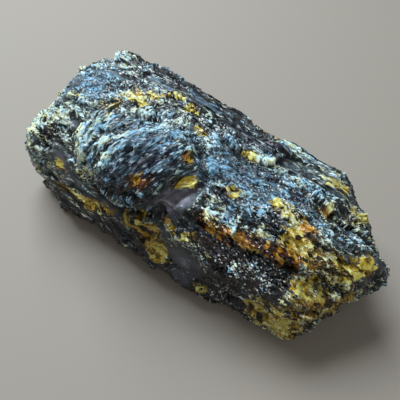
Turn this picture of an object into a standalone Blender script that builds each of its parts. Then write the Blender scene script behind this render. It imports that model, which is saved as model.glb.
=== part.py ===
"""Raw amber piece: one rough, unbroken lump of dark amber lying on its flattest side.

The lump is a block grown round a long axis. Nine flats face round that axis, and the reach of each
changes along the length; a few more flats blunt the two ends. Lobes, of which the knob is the largest, grow
out of the block. All of that is one field, negative inside. Every vertex of a finely cut box is moved onto
the field along its own ray. It is then pushed in or out along the field's normal by the relief: ridges and
creases, ledges, shell-shaped hollows, and chips that are each a little stepped and tilted. Decimate then
keeps the triangles where the form needs them.

Run with: blender --background --python part.py
"""

import math

import bmesh
import bpy
import numpy as np

# ---------------------------------------------------------------- driving dimensions, in millimetres
MM = 0.001  # metres in a millimetre
BLOCK = (150.0, 64.0, 52.0)  # box that the block is cut from: length, width, height
AXIS_HEIGHT = 24.0  # long axis above the face that the lump rests on
SPINE_HALF = 40.0  # the rays start on the long axis, this far to either side of its middle
CELLS = (100, 48, 40)  # cells along the box's length, width and height
TRIANGLES = 9800  # kept by Decimate
SHARP_FROM = 25  # degrees between two faces from which their edge is a sharp one
ROUNDING = 2.2  # how softly two flats meet
SQUARENESS = 0.4  # how much the rays aim at a box, the rest at a ball
LONGEST_RAY, RAY_STEP, RAY_HALVINGS = 60.0, 1.0, 12  # how the lump's surface is searched for along a ray
NORMAL_STEP = 0.25  # half the distance over which the field's slope is measured

# Each flat's facing, in degrees round the long axis (0 back, 90 up, 180 front, 270 down), and its reach
# from the axis at places along the length.
FLATS = {
    "back": (0, ((-70, 16), (-56, 24), (-42, 30), (-20, 31), (0, 29), (20, 27), (54, 25), (64, 20),
                 (75, 12))),
    "back_shoulder": (50, ((-75, -8), (-67, 6), (-63, 15), (-58, 20), (-50, 24.5), (-43, 28), (-30, 29.9),
                           (-20, 28.5), (-10, 26.5), (0, 25), (10, 22.5), (18, 19.7), (25, 18.8),
                           (31, 20.2), (38, 18.9), (49, 17.4), (54.5, 15.6), (61.7, 8), (70.4, 1))),
    "top": (90, ((-75, 14), (-56, 21), (-42, 24), (-20, 26), (0, 25), (20, 20), (40, 15), (54, 12), (64, 8),
                 (75, 3))),
    "front_shoulder": (130, ((-75, 20), (-56, 26), (-42, 27), (-20, 26), (0, 26), (20, 27), (40, 23),
                             (54, 20), (64, 14), (75, 6))),
    "drape": (165, ((-75, 40), (-50, 40), (-40, 31), (-30, 28.5), (-4, 28.5), (6, 29.5), (14, 32), (22, 40),
                    (75, 40))),
    "front": (180, ((-75, 20), (-56, 26), (-42, 30), (-20, 31), (0, 33), (20, 34), (40, 33), (54, 33),
                    (60, 30), (64, 24), (75, 8))),
    "front_foot": (207, ((-75, 10), (-64.6, 25.6), (-52.6, 31), (-43, 36.6), (-33.6, 36.2), (-22.4, 35),
                         (-8.8, 36.3), (4, 38.8), (13, 37.5), (22.5, 38.4), (40, 35.1), (52, 37.1),
                         (58, 36.6), (61.3, 32.6), (64, 26.1), (71.3, 17.7), (75, 8))),
    "bottom": (270, ((-75, 12), (-62, 18), (-52, 24), (55, 24), (62, 20), (68, 16), (75, 11))),
    "back_foot": (315, ((-75, 8), (-62, 18), (-42, 26), (0, 27), (40, 25), (54, 22), (64, 14), (75, 2))),
}

# Flats that blunt the ends: turn round the upright, tilt above level, both in degrees, and reach from the
# middle of the long axis.
END_FLATS = {
    "left_end": (174, 4, 60.0),
    "left_top": (201, 41, 48.8),
    "left_back_top": (154, 59, 42.4),
    "left_front": (246, -6, 49.5),
    "right_back": (34, 27, 50.4),
    "right_tip": (-17, -9, 72.4),
    "right_underside": (-35, -19, 68.0),
}

# Lobes: centre, radii, and turn round the upright in degrees.
LOBES = {
    "knob": ((-7.3, -14, 36), (24.8, 19.0, 14.6), 0),
    "nub": ((-37, 15, 46.0), (6, 4.5, 4.5), 20),
    "foot": ((54.5, -24.5, 7.5), (9.5, 8.5, 7), -30),
    "tip": ((69, -7, 20), (6.5, 6, 5), 0),
    "left_bump": ((-46, -20, 33), (8, 9, 7), 0),
}
LOBE_MEETING = 1.0  # how softly a lobe grows out of the block

# The features below stand on the lump at places given as (x, degrees round the long axis).
# Ridges and creases follow a path: the path, its half-width, and its height, negative for a crease.
RIDGES = {
    "under_knob": (((-30, 152), (-26, 161), (-21, 171), (-15, 178), (-7, 180), (2, 175), (7, 168)),
                   1.8, -2.8),
    "beside_lens": (((7, 168), (10, 159), (13, 151), (17, 142), (18, 134), (16, 124), (12, 114)), 1.7, -2.6),
    "outer_fold": (((-44, 162), (-34, 178), (-28, 184), (-19, 188), (-10, 187), (-2, 186)), 1.9, 1.5),
    "over_knob": (((-33, 150), (-27, 130), (-14, 113), (-2, 105), (9, 107), (15, 118)), 2.4, -0.9),
    "streak": (((-4, 182), (2, 185), (7, 189), (11, 196)), 2.6, 1.6),
    "beside_streak": (((5, 177), (10, 186), (15, 196)), 1.8, -1.2),
    "lower_edge": (((-46, 206), (-26, 204), (-8, 206), (6, 204), (22, 208), (44, 210)), 3.5, 1.6),
    "saddle": (((-20, 96), (-4, 88), (12, 84), (28, 88)), 2.0, -0.7),
    "back_groove": (((-46, 62), (-10, 66), (24, 64), (52, 58)), 1.8, -1.0),
    "back_rib": (((-52, 42), (-16, 34), (22, 40), (50, 36)), 4.0, 1.3),
    "back_low_groove": (((-58, 12), (-24, 2), (16, 8), (52, -4)), 2.2, -1.6),
    "back_low_rib": (((-44, -18), (0, -22), (40, -24)), 4.0, 1.2),
    "end_groove": (((52, 120), (58, 84), (57, 40)), 2.0, -1.4),
}

# Ledges are steps along a path: the path, the height of the step, and how far it takes to die away.
LEDGES = {
    "knob_foot": (((-30, 152), (-26, 161), (-21, 171), (-15, 178), (-7, 180), (2, 175), (7, 168)), 1.6, 6),
    "vein": (((14, 158), (20, 157), (34, 161), (43, 164), (54, 166), (66, 178)), 2.6, 9),
    "crest": (((20, 128), (34, 134), (48, 138), (63, 154)), 1.6, 7),
    "slope_top": (((-4, 92), (13, 82), (30, 78), (56, 74)), 0.6, 10),
    "drape": (((-58, 174), (-46, 184), (-32, 197), (-17, 198), (-4, 202)), 1.8, 6),
    "low_front": (((14, 196), (30, 190), (46, 188), (62, 192)), 1.4, 8),
    "back_step": (((-62, 30), (-30, 20), (4, 26), (44, 16)), 1.6, 9),
}
LEDGE_EDGE = 1.0  # half the width of a ledge's riser

# Shell-shaped hollows: their middle, their half-length and half-width, the turn of their length away from
# the long axis, and their depth.
HOLLOWS = {
    "lens": ((14, 153), 11, 3.6, 46, 1.0),
    "front_cleavage": ((20, 184), 10, 8, -20, 1.1),
    "left_facet": ((-34, 167), 8, 3.6, -60, 1.0),
    "end_notch": ((60, 100), 6, 3.5, 20, 2.6),
    "undercut": ((2, 214), 22, 7, 0, 2.2),
    "top_dish": ((-30, 98), 12, 8, 10, 1.4),
    "plateau_dish": ((26, 112), 13, 6.5, -5, 1.1),
    "back_scar": ((-12, 18), 20, 9, 4, 2.4),
    "back_end_scar": ((38, 2), 16, 8, -8, 2.2),
    "back_left_scar": ((-50, 4), 11, 10, 0, 1.8),
    "foot_undercut": ((62, 214), 6, 5, 30, 2.0),
    "low_left_scar": ((-46, 208), 12, 6, 10, 1.4),
}

# Chips: length along the grain, width across it, step in or out, tilt, and a number that picks the pattern.
CHIPS = {
    "coarse": (26.0, 9.5, 0.55, 0.09, 3),
    "fine": (11.0, 4.6, 0.22, 0.10, 8),
}
CHIP_FRAY = 0.3  # how far a chip's outline wanders, in chip widths
GRAIN = {"body": (0, -12), "knob": (62, 20)}  # turn and tilt of the splinters, in degrees
KNOB_GRAIN_REACH = 3.0  # over this distance outside the knob its grain gives way to the body's
SMOOTH_HOLLOWS = ("lens", "front_cleavage", "left_facet")  # glassy scars with hardly any chips in them
CALMEST = 0.1  # share of the chips' relief that is left in those
CHIPPED_AWAY = 0.3  # thickness that the chipping takes off all over
REST_HEIGHT = 0.3  # what comes this close to the ground is worn flat onto it
REST_RADIUS = 16.0  # patch under the middle that is left unchipped
REST_DEPTH = 2.0  # the patch is where the block comes this near to the ground
FLAT = 0.15  # after Decimate, what is this near the ground is set on it again

# Dice: a seeded table with a row of random numbers for every cell of a lattice.
DICE = np.random.default_rng(7).random((4099, 8))
CELL_STRIDES = np.array([1619, 31337, 6971])
SALT_STRIDE = 1013
CORNERS = np.array([(x, y, z) for x in (0, 1) for y in (0, 1) for z in (0, 1)])
NEIGHBOURS = np.array([(x, y, z) for x in (-1, 0, 1) for y in (-1, 0, 1) for z in (-1, 0, 1)])


def way(turn, tilt):
    """The unit vector that a turn round the upright and a tilt above level point along."""
    turn, tilt = math.radians(turn), math.radians(tilt)
    return np.array([math.cos(turn) * math.cos(tilt), math.sin(turn) * math.cos(tilt), math.sin(tilt)])


def smooth_max(a, b, soft):
    """The larger of a and b, with a rounded step of width soft where they meet."""
    mix = np.clip(0.5 + 0.5 * (a - b) / soft, 0, 1)
    return b + (a - b) * mix + soft * mix * (1 - mix)


def smooth_min(a, b, soft):
    """The smaller of a and b, rounded in the same way."""
    return -smooth_max(-a, -b, soft)


def block(p):
    """The block of flats: how far each point is outside it."""
    height = p[:, 2] - AXIS_HEIGHT
    outside = np.full(len(p), -1e3)
    for facing, reach in FLATS.values():
        turn = math.radians(facing)
        along, far = zip(*reach)
        flat = p[:, 1] * math.cos(turn) + height * math.sin(turn) - np.interp(p[:, 0], along, far)
        outside = smooth_max(outside, flat, ROUNDING)
    middle = np.array([0, 0, AXIS_HEIGHT])
    for turn, tilt, reach in END_FLATS.values():
        outside = smooth_max(outside, (p - middle) @ way(turn, tilt) - reach, ROUNDING)
    return outside


def lobe(p, centre, radii, turn):
    """An egg shape: the distance to it, scaled so that it is true near the surface."""
    side = math.radians(turn)
    frame = np.array([[math.cos(side), -math.sin(side), 0], [math.sin(side), math.cos(side), 0], [0, 0, 1]])
    q = (p - np.array(centre, float)) @ frame
    share = np.linalg.norm(q / np.array(radii), axis=1)
    steep = np.linalg.norm(q / np.array(radii, float) ** 2, axis=1) + 1e-9
    return share * (share - 1) / steep


def lump(p):
    """The rounded lump: the block and its lobes, negative inside and zero on its surface."""
    field = block(p)
    for centre, radii, turn in LOBES.values():
        field = smooth_min(field, lobe(p, centre, radii, turn), LOBE_MEETING)
    return field


def cast(start, ray):
    """Where rays from inside the lump leave it: even steps, then the last one is halved again and again."""
    near = np.zeros(len(ray))
    for step in np.arange(RAY_STEP, LONGEST_RAY, RAY_STEP):
        inside = lump(start + ray * step) < 0
        near[inside] = step
    beyond = near + RAY_STEP
    for _ in range(RAY_HALVINGS):
        middle = (near + beyond) / 2
        inside = lump(start + ray * middle[:, None]) < 0
        near = np.where(inside, middle, near)
        beyond = np.where(inside, beyond, middle)
    return start + ray * near[:, None]


def on_lump(places):
    """The points of the lump's surface at (x, degrees round the long axis)."""
    x, turn = np.array(places, float).T
    turn = np.radians(turn)
    start = np.stack([x, 0 * x, 0 * x + AXIS_HEIGHT], axis=1)
    return cast(start, np.stack([0 * x, np.cos(turn), np.sin(turn)], axis=1))


def path_reach(p, places):
    """Each point's distance to a path over the lump, and which side of it the point is on."""
    points = on_lump(places)
    best, side = np.full(len(p), 1e3), np.ones(len(p))
    for start, end in zip(points[:-1], points[1:]):
        run = end - start
        share = np.clip((p - start) @ run / (run @ run), 0, 1)
        apart = p - start - share[:, None] * run
        far = np.linalg.norm(apart, axis=1)
        outward = (start + end) / 2 * (0, 1, 1) - (0, 0, AXIS_HEIGHT)
        closer = far < best
        side = np.where(closer, np.sign(apart @ np.cross(run, outward)), side)
        best = np.where(closer, far, best)
    return best, side


def ridge(p, places, half_width, height):
    """A rounded ridge, or a crease where the height is negative: a bell across the path."""
    far, _ = path_reach(p, places)
    return height * np.exp(-((far / half_width) ** 2))


def ledge(p, places, height, fade):
    """A step: raised on the far side of the path and sunk on the near side, both dying away."""
    far, side = path_reach(p, places)
    riser = np.clip(far / LEDGE_EDGE, 0, 1)
    return -side * height / 2 * riser * np.exp(-far / fade)


def hollow(p, place, half_length, half_width, turned, depth):
    """A shell-shaped scar: a shallow bowl with a sharp rim, longer one way than the other."""
    middle = on_lump([place])[0]
    out = middle * (0, 1, 1) - (0, 0, AXIS_HEIGHT)
    out /= np.linalg.norm(out)
    level = np.cross(out, (1, 0, 0))
    turned = math.radians(turned)
    length_way = np.array([math.cos(turned), 0, 0]) + level * math.sin(turned)
    width_way = np.cross(out, length_way)
    apart = p - middle
    spread = ((apart @ length_way) / half_length) ** 2 + ((apart @ width_way) / half_width) ** 2
    spread += ((apart @ out) / (1.5 * half_width)) ** 2
    return -depth * np.clip(1 - spread, 0, 1), spread


def throw(cell, salt):
    """The row of eight random numbers, 0 to 1, that belongs to each whole-number cell."""
    return DICE[(cell.astype(np.int64) @ CELL_STRIDES + salt * SALT_STRIDE) % len(DICE)]


def wander(p, salt):
    """Smooth noise from -1 to 1: the throws at the corners of a cell, blended with eased weights."""
    base = np.floor(p)
    share = p - base
    share = share * share * (3 - 2 * share)
    total = np.zeros(len(p))
    for corner in CORNERS:
        total += np.prod(np.where(corner, share, 1 - share), axis=1) * throw(base + corner, salt)[:, 0]
    return 2 * total - 1


def chips(p, grain, long, across, step, tilt, salt):
    """How far the surface stands in or out: each cell of a jittered lattice is one tilted, stepped chip."""
    along = way(*grain)
    stretched = p + np.outer(p @ along, along) * (across / long - 1)
    fray = np.stack([wander(p / across, salt + k) for k in (11, 12, 13)], axis=1)
    bent = stretched + across * CHIP_FRAY * fray
    home = np.floor(bent / across)
    nearest = np.full(len(p), 1e9)
    height = np.zeros(len(p))
    for neighbour in NEIGHBOURS:
        dice = throw(home + neighbour, salt)
        apart = bent - (home + neighbour + dice[:, :3]) * across
        far = (apart**2).sum(axis=1)
        lean = 2 * dice[:, 4:7] - 1
        own = step * (2 * dice[:, 3] - 1) + 2 * tilt * (apart * lean).sum(axis=1)
        height = np.where(far < nearest, own, height)
        nearest = np.minimum(far, nearest)
    return height


def relief(p):
    """How far each point stands out: ridges, ledges, hollows, and chips whose grain turns over the knob."""
    form, calm = np.zeros(len(p)), np.ones(len(p))
    for feature in RIDGES.values():
        form += ridge(p, *feature)
    for feature in LEDGES.values():
        form += ledge(p, *feature)
    for name, feature in HOLLOWS.items():
        deep, spread = hollow(p, *feature)
        form += deep
        if name in SMOOTH_HOLLOWS:
            calm *= np.clip(2.5 * spread - 1.5, CALMEST, 1)
    on_knob = np.clip(1 - lobe(p, *LOBES["knob"]) / KNOB_GRAIN_REACH, 0, 1)
    for chip in CHIPS.values():
        body, knob = (chips(p, GRAIN[part], *chip) for part in ("body", "knob"))
        form += calm * (body + on_knob * (knob - body))
    under_middle = (p[:, 2] < REST_DEPTH) & (np.hypot(p[:, 0], p[:, 1]) < REST_RADIUS)
    return np.where(under_middle, 0, form - CHIPPED_AWAY)


def facing_out(p):
    """The unit normal of the field at each point."""
    slope = np.stack([lump(p + shift) - lump(p - shift) for shift in np.eye(3) * NORMAL_STEP], axis=1)
    return slope / np.linalg.norm(slope, axis=1, keepdims=True)


def cut_box():
    """A box from -1 to 1 with its sides cut into cells."""
    bm = bmesh.new()
    bmesh.ops.create_cube(bm, size=2.0)
    for axis, cells in enumerate(CELLS):
        edges = [e for e in bm.edges if abs(e.verts[0].co[axis] - e.verts[1].co[axis]) > 1e-6]
        bmesh.ops.subdivide_edges(bm, edges=edges, cuts=cells - 1, use_grid_fill=True)
    return bm


def onto_lump(unit):
    """Where each point of the box from -1 to 1 lands on the lump, along a ray from the spine."""
    x2, y2, z2 = (unit**2).T
    ball = unit * np.sqrt(np.stack([
        1 - y2 / 2 - z2 / 2 + y2 * z2 / 3,
        1 - z2 / 2 - x2 / 2 + z2 * x2 / 3,
        1 - x2 / 2 - y2 / 2 + x2 * y2 / 3,
    ], axis=1))
    target = (SQUARENESS * unit + (1 - SQUARENESS) * ball) * np.array(BLOCK) / 2
    start = np.outer(np.sin(unit[:, 0] * math.pi / 2), (SPINE_HALF, 0, 0))
    ray = target - start
    ray /= np.linalg.norm(ray, axis=1, keepdims=True)
    return cast(start + (0, 0, AXIS_HEIGHT), ray)


def amber_material():
    """Near-black amber with a wet gloss."""
    material = bpy.data.materials.new("dark_amber")
    material.use_nodes = True
    shader = material.node_tree.nodes["Principled BSDF"]
    shader.inputs["Base Color"].default_value = (0.045, 0.032, 0.018, 1)
    shader.inputs["Roughness"].default_value = 0.28
    shader.inputs["Metallic"].default_value = 0.0
    shader.inputs["IOR"].default_value = 1.54
    return material


def chipped_mesh():
    """The lump's finely cut mesh, in metres, its middle over the world's origin."""
    bm = cut_box()
    p = onto_lump(np.array([v.co[:] for v in bm.verts]))
    p += facing_out(p) * relief(p)[:, None]
    p[:, 2] = np.maximum(p[:, 2] - REST_HEIGHT, 0)
    middle = (p.max(axis=0) + p.min(axis=0)) / 2
    p[:, :2] -= middle[:2]
    for vertex, place in zip(bm.verts, p * MM):
        vertex.co = place
    bmesh.ops.recalc_face_normals(bm, faces=bm.faces)
    bmesh.ops.triangulate(bm, faces=bm.faces)
    mesh = bpy.data.meshes.new("finely_cut")
    bm.to_mesh(mesh)
    bm.free()
    return mesh


def fewer_triangles(fine):
    """The same surface in TRIANGLES faces, standing flat on the ground."""
    draft = bpy.data.objects.new("draft", fine)
    bpy.context.scene.collection.objects.link(draft)
    draft.modifiers.new("decimate", "DECIMATE").ratio = TRIANGLES / len(fine.polygons)
    depsgraph = bpy.context.evaluated_depsgraph_get()
    mesh = bpy.data.meshes.new_from_object(draft.evaluated_get(depsgraph))
    bpy.data.objects.remove(draft, do_unlink=True)
    for vertex in mesh.vertices:
        if vertex.co.z < FLAT * MM:
            vertex.co.z = 0
    mesh.name = "raw_amber"
    return mesh


def build_piece():
    """The lump as one object, with sharp edges where chips meet."""
    mesh = fewer_triangles(chipped_mesh())
    mesh.materials.append(amber_material())
    mesh.shade_smooth()
    mesh.set_sharp_from_angle(angle=math.radians(SHARP_FROM))
    return bpy.data.objects.new("raw_amber", mesh)


def main():
    for old in list(bpy.data.objects):
        bpy.data.objects.remove(old, do_unlink=True)
    parts = bpy.data.collections.new("raw_amber_piece")
    bpy.context.scene.collection.children.link(parts)
    parts.objects.link(build_piece())


main()
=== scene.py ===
# %% [markdown]
# # A raw piece of dark amber
#
# Amber is fossil resin. A piece as it comes out of the ground is a lump: near black where it is thick,
# gold where light can get through it, and covered in small broken flakes, some glassy and some
# weathered to a pale crust. This lesson dresses one such lump in Blender.
#
# The lump's solid is already made and packed. It is the fixed frame here: it gives the place, the size
# and the face that the piece rests on. What is made here is the skin that is looked at.

# %% Load the frame and keep its size
import math

import bpy
import numpy as np
from mathutils import Matrix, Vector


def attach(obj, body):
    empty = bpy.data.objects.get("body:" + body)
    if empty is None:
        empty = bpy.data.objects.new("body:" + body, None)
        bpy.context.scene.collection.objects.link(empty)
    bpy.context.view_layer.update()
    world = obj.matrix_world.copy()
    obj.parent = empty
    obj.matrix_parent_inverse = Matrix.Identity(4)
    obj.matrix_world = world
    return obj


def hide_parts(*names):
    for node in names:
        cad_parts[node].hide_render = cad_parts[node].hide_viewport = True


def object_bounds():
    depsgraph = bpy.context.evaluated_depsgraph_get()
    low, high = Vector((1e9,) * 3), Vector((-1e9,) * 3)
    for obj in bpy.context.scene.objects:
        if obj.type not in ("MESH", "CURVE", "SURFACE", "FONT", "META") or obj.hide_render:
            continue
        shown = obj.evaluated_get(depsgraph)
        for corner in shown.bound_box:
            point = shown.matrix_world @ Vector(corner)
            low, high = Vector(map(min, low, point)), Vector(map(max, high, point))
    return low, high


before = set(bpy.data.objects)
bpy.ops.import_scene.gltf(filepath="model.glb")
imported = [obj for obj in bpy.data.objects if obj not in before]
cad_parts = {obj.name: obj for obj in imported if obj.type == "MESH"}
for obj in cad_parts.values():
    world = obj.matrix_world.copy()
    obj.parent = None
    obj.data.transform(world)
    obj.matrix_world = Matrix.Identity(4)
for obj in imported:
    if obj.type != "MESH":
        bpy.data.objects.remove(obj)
cad_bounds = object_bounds()
LOW, HIGH = (np.array(corner) * 1000 for corner in cad_bounds)  # the solid's box, in millimetres
print("solid, mm:", np.round(HIGH - LOW, 1))

# %% [markdown]
# ## Random numbers that never change
#
# Broken amber is a mosaic of chips, and each chip needs a few numbers of its own: how far it stands
# out, and which way it leans. A seeded table is thrown once, and space is cut into whole-number cells
# that each look up a row of it. The same cell then gives the same chip on every run, and no list has to
# be kept.

# %% Dice for every cell of space
SEED, ROWS = 7, 4099
DICE = np.random.default_rng(SEED).random((ROWS, 8))
CELL_STRIDES, SALT_STRIDE = np.array([1619, 31337, 6971]), 1013
CORNERS = np.array([(x, y, z) for x in (0, 1) for y in (0, 1) for z in (0, 1)])
NEIGHBOURS = np.array([(x, y, z) for x in (-1, 0, 1) for y in (-1, 0, 1) for z in (-1, 0, 1)])


def throw(cell, salt):
    """The row of eight random numbers, 0 to 1, that belongs to each whole-number cell."""
    return DICE[(cell.astype(np.int64) @ CELL_STRIDES + salt * SALT_STRIDE) % ROWS]


def wander(p, salt):
    """Smooth noise from -1 to 1: the throws at the eight corners of a cell, blended with eased weights."""
    base = np.floor(p)
    share = p - base
    share = share * share * (3 - 2 * share)
    total = np.zeros(len(p))
    for corner in CORNERS:
        total += np.prod(np.where(corner, share, 1 - share), axis=1) * throw(base + corner, salt)[:, 0]
    return 2 * total - 1


def way(turn, tilt):
    """Unit vector at a turn round the upright and a tilt above level, both in degrees."""
    turn, tilt = math.radians(turn), math.radians(tilt)
    return np.array([math.cos(turn) * math.cos(tilt), math.sin(turn) * math.cos(tilt), math.sin(tilt)])


# %% [markdown]
# ## The block under the skin
#
# The lump was split from a larger mass along a few directions, so under its chips it is a long block of
# flats. Nine flats face round the long axis, and the reach of each changes along the length. A few more
# blunt the ends. A field says how far a point is outside all of them: the largest of the distances,
# with the corners eased. Lobes grow out of the block in the same field, by taking the smaller value
# instead. The knob on the front shoulder is the largest of them.

# %% The flats and the lobes, in millimetres
AXIS_HEIGHT = 24.0
ROUNDING = 2.2
FLATS = {  # facing in degrees round the long axis (0 back, 90 up, 180 front), and (x, reach) pairs
    "back": (0, ((-70, 16), (-56, 24), (-42, 30), (-20, 31), (0, 29), (20, 27), (54, 25), (64, 20),
                 (75, 12))),
    "back_shoulder": (50, ((-75, -8), (-67, 6), (-63, 15), (-58, 20), (-50, 24.5), (-43, 28), (-30, 29.9),
                           (-20, 28.5), (-10, 26.5), (0, 25), (10, 22.5), (18, 19.7), (25, 18.8),
                           (31, 20.2), (38, 18.9), (49, 17.4), (54.5, 15.6), (61.7, 8), (70.4, 1))),
    "top": (90, ((-75, 14), (-56, 21), (-42, 24), (-20, 26), (0, 25), (20, 20), (40, 15), (54, 12), (64, 8),
                 (75, 3))),
    "front_shoulder": (130, ((-75, 20), (-56, 26), (-42, 27), (-20, 26), (0, 26), (20, 27), (40, 23),
                             (54, 20), (64, 14), (75, 6))),
    "drape": (165, ((-75, 40), (-50, 40), (-40, 31), (-30, 28.5), (-4, 28.5), (6, 29.5), (14, 32), (22, 40),
                    (75, 40))),
    "front": (180, ((-75, 20), (-56, 26), (-42, 30), (-20, 31), (0, 33), (20, 34), (40, 33), (54, 33),
                    (60, 30), (64, 24), (75, 8))),
    "front_foot": (207, ((-75, 10), (-64.6, 25.6), (-52.6, 31), (-43, 36.6), (-33.6, 36.2), (-22.4, 35),
                         (-8.8, 36.3), (4, 38.8), (13, 37.5), (22.5, 38.4), (40, 35.1), (52, 37.1),
                         (58, 36.6), (61.3, 32.6), (64, 26.1), (71.3, 17.7), (75, 8))),
    "bottom": (270, ((-75, 12), (-62, 18), (-52, 24), (55, 24), (62, 20), (68, 16), (75, 11))),
    "back_foot": (315, ((-75, 8), (-62, 18), (-42, 26), (0, 27), (40, 25), (54, 22), (64, 14), (75, 2))),
}
END_FLATS = {  # turn and tilt that the flat faces, and its reach from the middle of the long axis
    "left_end": (174, 4, 60.0),
    "left_top": (201, 41, 48.8),
    "left_back_top": (154, 59, 42.4),
    "left_front": (246, -6, 49.5),
    "right_back": (34, 27, 50.4),
    "right_tip": (-17, -9, 72.4),
    "right_underside": (-35, -19, 68.0),
}
LOBES = {  # centre, radii, and turn round the upright
    "knob": ((-7.3, -14, 36), (24.8, 19.0, 14.6), 0),
    "nub": ((-37, 15, 46.0), (6, 4.5, 4.5), 20),
    "foot": ((54.5, -24.5, 7.5), (9.5, 8.5, 7), -30),
    "tip": ((69, -7, 20), (6.5, 6, 5), 0),
    "left_bump": ((-46, -20, 33), (8, 9, 7), 0),
}
LOBE_MEETING = 1.0
RAY_STEP, RAY_LENGTH, HALVINGS = 1.5, 60.0, 11


def smooth_max(a, b, soft):
    """The larger of a and b, with a parabola of width soft where they cross."""
    mix = np.clip(0.5 + 0.5 * (a - b) / soft, 0, 1)
    return b + (a - b) * mix + soft * mix * (1 - mix)


def lobe(p, centre, radii, turn):
    """Egg: (share of the radius - 1) x share / steepness, which is about the distance to it."""
    side = math.radians(turn)
    axes = np.array([[math.cos(side), -math.sin(side), 0], [math.sin(side), math.cos(side), 0], [0, 0, 1]])
    q = (p - np.array(centre, float)) @ axes
    share = np.linalg.norm(q / np.array(radii), axis=1)
    steep = np.linalg.norm(q / np.array(radii, float) ** 2, axis=1) + 1e-9
    return share * (share - 1) / steep


def lump(p):
    """The largest distance outside any flat, then the smaller of that and each lobe."""
    height = p[:, 2] - AXIS_HEIGHT
    field = np.full(len(p), -1e3)
    for facing, reach in FLATS.values():
        turn = math.radians(facing)
        along, far = zip(*reach)
        flat = p[:, 1] * math.cos(turn) + height * math.sin(turn) - np.interp(p[:, 0], along, far)
        field = smooth_max(field, flat, ROUNDING)
    for turn, tilt, reach in END_FLATS.values():
        field = smooth_max(field, (p - (0, 0, AXIS_HEIGHT)) @ way(turn, tilt) - reach, ROUNDING)
    for egg in LOBES.values():
        field = -smooth_max(-field, -lobe(p, *egg), LOBE_MEETING)
    return field


def cast(start, ray):
    """Where rays from inside leave the lump: even steps find the last point inside, halving refines it."""
    near = np.zeros(len(ray))
    for step in np.arange(RAY_STEP, RAY_LENGTH, RAY_STEP):
        inside = lump(start + ray * step) < 0
        near[inside] = step
    beyond = near + RAY_STEP
    for _ in range(HALVINGS):
        middle = (near + beyond) / 2
        inside = lump(start + ray * middle[:, None]) < 0
        near = np.where(inside, middle, near)
        beyond = np.where(inside, beyond, middle)
    return start + ray * near[:, None]


# %% [markdown]
# ## A closed skin from six grids
#
# A surface worked out as an array needs two parameters. A ball's latitude and longitude would crowd the
# points at the two ends, just where this lump has its broken ends. Six grids, one for each side of a
# box, spread them evenly. The grids share their borders: each point has a whole-number place on the
# box, and points with the same place are made one, so the skin closes with no seam. Each point then
# runs out along its own ray from a spine inside the lump until it meets the field.

# %% Wrap the box round the lump
BLOCK = np.array([150.0, 64.0, 52.0])
SPINE_HALF = 40.0
BOX_SHARE = 0.4  # of the aim of each ray; the rest is a ball's
CELLS = np.array([214, 98, 86])


def box_skin(cells):
    """Whole-number places and quads of a box's surface: u and v run over each side, the third is fixed."""
    quads, places = [], []
    for fixed in range(3):
        u_axis, v_axis = (fixed + 1) % 3, (fixed + 2) % 3
        u, v = np.meshgrid(np.arange(cells[u_axis] + 1), np.arange(cells[v_axis] + 1), indexing="ij")
        number = np.arange(u.size).reshape(u.shape)
        around = (number[:-1, :-1], number[1:, :-1], number[1:, 1:], number[:-1, 1:])
        ring = np.stack(around, axis=-1).reshape(-1, 4)
        for end in (0, cells[fixed]):
            side = np.zeros((u.size, 3), int)
            side[:, fixed], side[:, u_axis], side[:, v_axis] = end, u.ravel(), v.ravel()
            quads.append((ring if end else ring[:, ::-1]) + sum(len(place) for place in places))
            places.append(side)
    places, merged = np.unique(np.concatenate(places), axis=0, return_inverse=True)
    return places, merged.ravel()[np.concatenate(quads)]


def onto_lump(unit):
    """The box from -1 to 1, bulged towards a ball, aims the rays. Their start slides along the spine."""
    squares = unit**2
    second, third = squares[:, [1, 2, 0]], squares[:, [2, 0, 1]]
    ball = unit * np.sqrt(1 - second / 2 - third / 2 + second * third / 3)
    start = np.outer(np.sin(unit[:, 0] * math.pi / 2), (SPINE_HALF, 0, 0))
    ray = (BOX_SHARE * unit + (1 - BOX_SHARE) * ball) * BLOCK / 2 - start
    ray /= np.linalg.norm(ray, axis=1, keepdims=True)
    return cast(start + (0, 0, AXIS_HEIGHT), ray)


places, quads = box_skin(CELLS)
base = onto_lump(places / CELLS * 2 - 1)
print("points:", len(base), " triangles:", 2 * len(quads))

# %% [markdown]
# ## Folds, ledges and shell-shaped scars
#
# Resin sets in layers and breaks like glass. The layers show as ledges, where one sheet ends on top of
# the next, and the glassy breaks as shallow shell-shaped scars. The same few shapes are used for all of
# them: a ridge is a bell across a path, a crease is the same bell cut inwards, a ledge is a step that
# dies away on both sides of its path, and a scar is a hollow with a sharp rim. Each has its place as
# (x, degrees round the long axis), which is easy to read off a lump in the hand.

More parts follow.
